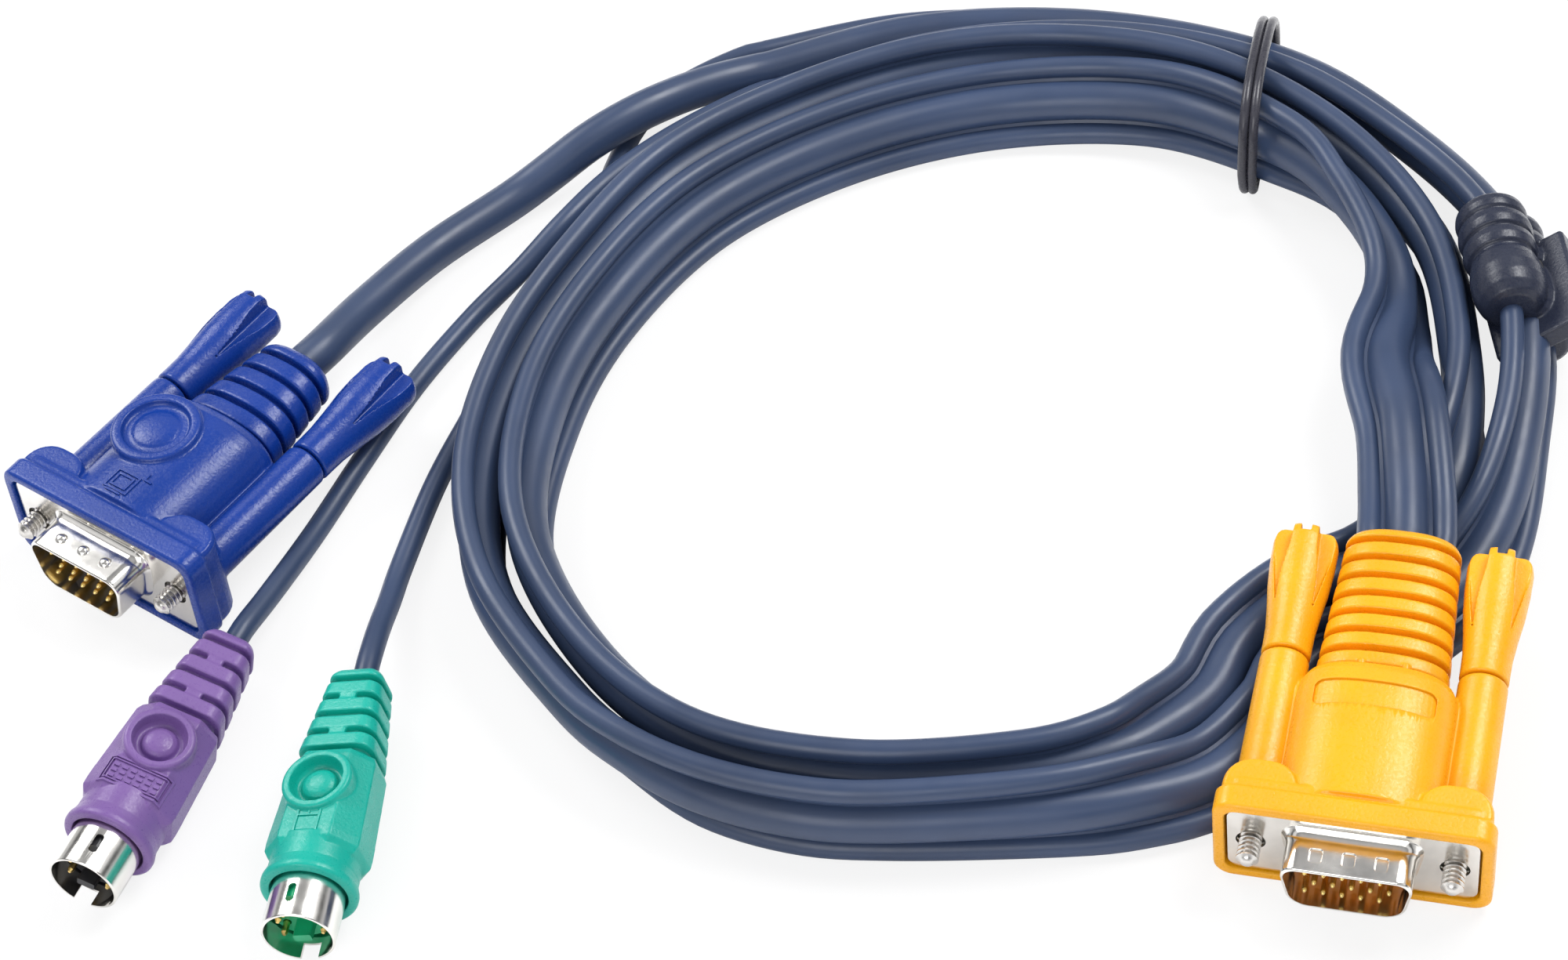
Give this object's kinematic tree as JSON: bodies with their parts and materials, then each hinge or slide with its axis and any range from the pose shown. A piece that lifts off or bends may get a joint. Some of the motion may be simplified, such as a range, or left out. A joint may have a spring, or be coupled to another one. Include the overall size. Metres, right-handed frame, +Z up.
{
  "type": "kvm cable",
  "caption": "Coiled flat cable from a video and control plug at a switch to separate video, keyboard and mouse plugs, with a choke and a tie round the coil.",
  "frame": {"origin": "middle of the footprint of the plugs, the choke and the tie, on the surface that the cable lies on", "axes": "+Z up; +X from the monitor, keyboard and mouse plugs towards the choke; +Y from the plugs towards the far side of the coil"},
  "size_m": [0.2164, 0.178, 0.0187],
  "materials": {
    "yellow_plastic": "fine spark texture",
    "blue_plastic": "fine spark texture",
    "purple_plastic": "fine spark texture",
    "green_plastic": "fine spark texture",
    "amber_insulator": "satin",
    "black_insulator": "satin",
    "green_insulator": "satin",
    "nickel": "nickel plated",
    "screw_steel": "plated",
    "gold_pin": "gold plated",
    "inner_plastic": "plain",
    "jacket": "satin",
    "choke_plastic": "satin",
    "ferrite": "matte",
    "tie_plastic": "satin"
  },
  "bodies": {
    "cable": {"flat_cable": "jacket", "video_cord": "jacket", "keyboard_cord": "jacket", "mouse_cord": "jacket", "choke_housing": "choke_plastic", "ferrite_core": "ferrite", "coil_tie": "tie_plastic", "switch_plug_hood": "yellow_plastic", "switch_plug_front_shell": "nickel", "switch_plug_rear_shell": "nickel", "switch_plug_insulator": "amber_insulator", "switch_plug_inner_mould": "inner_plastic", "monitor_plug_hood": "blue_plastic", "monitor_plug_front_shell": "nickel", "monitor_plug_rear_shell": "nickel", "monitor_plug_insulator": "black_insulator", "monitor_plug_inner_mould": "inner_plastic", "keyboard_plug_hood": "purple_plastic", "keyboard_plug_sleeve": "nickel", "keyboard_plug_insulator": "black_insulator", "keyboard_plug_pin_1": "gold_pin", "keyboard_plug_pin_2": "gold_pin", "keyboard_plug_pin_3": "gold_pin", "keyboard_plug_pin_4": "gold_pin", "keyboard_plug_pin_5": "gold_pin", "keyboard_plug_pin_6": "gold_pin", "mouse_plug_hood": "green_plastic", "mouse_plug_sleeve": "nickel", "mouse_plug_insulator": "green_insulator", "mouse_plug_pin_1": "gold_pin", "mouse_plug_pin_2": "gold_pin", "mouse_plug_pin_3": "gold_pin", "mouse_plug_pin_4": "gold_pin", "mouse_plug_pin_5": "gold_pin", "mouse_plug_pin_6": "gold_pin"},
    "switch_left_thumbscrew": {"switch_plug_left_knob": "yellow_plastic", "switch_plug_left_screw": "screw_steel"},
    "switch_right_thumbscrew": {"switch_plug_right_knob": "yellow_plastic", "switch_plug_right_screw": "screw_steel"},
    "monitor_left_thumbscrew": {"monitor_plug_left_knob": "blue_plastic", "monitor_plug_left_screw": "screw_steel"},
    "monitor_right_thumbscrew": {"monitor_plug_right_knob": "blue_plastic", "monitor_plug_right_screw": "screw_steel"}
  },
  "joints": [
    {"name": "switch_left_turn", "type": "hinge", "parent": "cable", "child": "switch_left_thumbscrew", "pos_m": [0.05972, -0.03434, 0.01114], "axis": [0.3194, 0.9436, 0.0872], "continuous": true},
    {"name": "switch_right_turn", "type": "hinge", "parent": "cable", "child": "switch_right_thumbscrew", "pos_m": [0.08339, -0.04236, 0.01114], "axis": [0.3194, 0.9436, 0.0872], "continuous": true},
    {"name": "monitor_left_turn", "type": "hinge", "parent": "cable", "child": "monitor_left_thumbscrew", "pos_m": [-0.08089, 0.03732, 0.008], "axis": [0.6574, 0.7536, 0], "continuous": true},
    {"name": "monitor_right_turn", "type": "hinge", "parent": "cable", "child": "monitor_right_thumbscrew", "pos_m": [-0.06206, 0.02089, 0.008], "axis": [0.6574, 0.7536, 0], "continuous": true}
  ]
}
